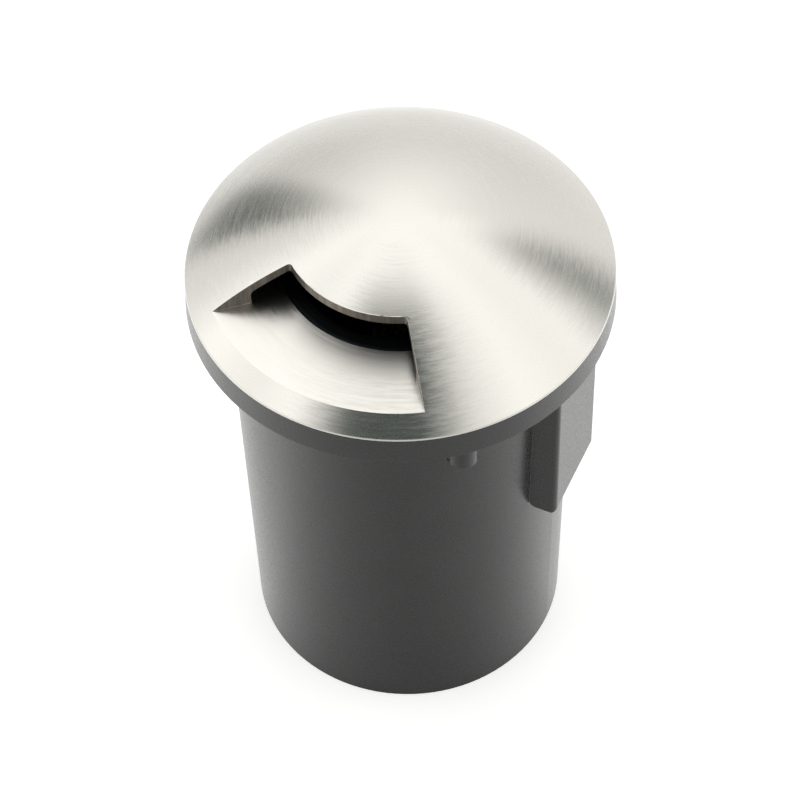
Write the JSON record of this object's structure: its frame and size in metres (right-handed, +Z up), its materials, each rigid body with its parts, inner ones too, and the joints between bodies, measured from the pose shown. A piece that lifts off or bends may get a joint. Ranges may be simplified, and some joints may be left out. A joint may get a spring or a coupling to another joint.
{
  "type": "in ground well light",
  "caption": "Recessed walk-over garden light: a turned steel cover with one side window turns and lifts on a sealed finned canister in a plastic ground sleeve.",
  "frame": {"origin": "centre of the ground sleeve's flat foot", "axes": "+Z up along the light's axis, +X towards the cable hood; the window faces 6.9 degrees past -Y"},
  "size_m": [0.1106, 0.1106, 0.1589],
  "materials": {
    "sleeve_plastic": "moulded polypropylene, charcoal, fine matt texture",
    "insert_brass": "turned brass",
    "canister_alloy": "die-cast aluminium, bead blasted",
    "plate_alloy": "milled aluminium",
    "black_alloy": "black anodised aluminium, matt",
    "black_rubber": "silicone rubber, matt",
    "screw_steel": "stainless steel, bright",
    "clear_glass": "toughened, clear",
    "baffle_black": "black polycarbonate, matt",
    "lens_clear": "clear acrylic",
    "emitter_phosphor": "yellow phosphor in silicone",
    "board_white": "white solder mask on aluminium",
    "lead_red": "silicone insulation, red",
    "liner_white": "insulating sheet, off-white",
    "board_green": "glass-epoxy board, green mask",
    "core_ferrite": "ferrite and tape",
    "can_blue": "printed sleeve on an aluminium can, blank",
    "coil_copper": "enamelled copper on a ferrite drum",
    "terminal_green": "polyamide, green",
    "gland_nickel": "nickel-plated brass, satin",
    "cover_steel": "stainless steel, turned and circular brushed"
  },
  "bodies": {
    "sleeve": {"ground_sleeve": "sleeve_plastic", "boss_inserts": "insert_brass"},
    "canister": {"housing": "canister_alloy", "seat_gasket": "black_rubber", "mount_screws": "screw_steel", "glass_gasket": "black_rubber", "glass": "clear_glass", "clamp_ring": "black_alloy", "clamp_screws": "screw_steel", "glare_baffle": "baffle_black", "lens": "lens_clear", "led_emitter": "emitter_phosphor", "led_board": "board_white", "board_screws": "screw_steel", "carrier_plate": "plate_alloy", "carrier_screws": "screw_steel", "led_leads": "lead_red", "driver_liner": "liner_white", "driver_board": "board_green", "transformer": "core_ferrite", "capacitors": "can_blue", "choke": "coil_copper", "terminal_block": "terminal_green", "earth_screw": "screw_steel", "gland_body": "gland_nickel", "gland_washer": "black_rubber", "gland_locknut": "gland_nickel", "gland_seal": "black_rubber", "gland_nut": "gland_nickel"},
    "cover_ring": {"cover_oring": "black_rubber"},
    "cover": {"dome_cover": "cover_steel"}
  },
  "joints": [
    {"name": "luminaire_lift", "type": "slide", "parent": "sleeve", "child": "canister", "axis": [0, 0, 1], "range_m": [0, 0.125]},
    {"name": "cover_turn", "type": "hinge", "parent": "canister", "child": "cover_ring", "pos_m": [0, 0, 0.139], "axis": [0, 0, 1], "continuous": true},
    {"name": "cover_lift", "type": "slide", "parent": "cover_ring", "child": "cover", "axis": [0, 0, 1], "range_m": [0, 0.03]}
  ]
}
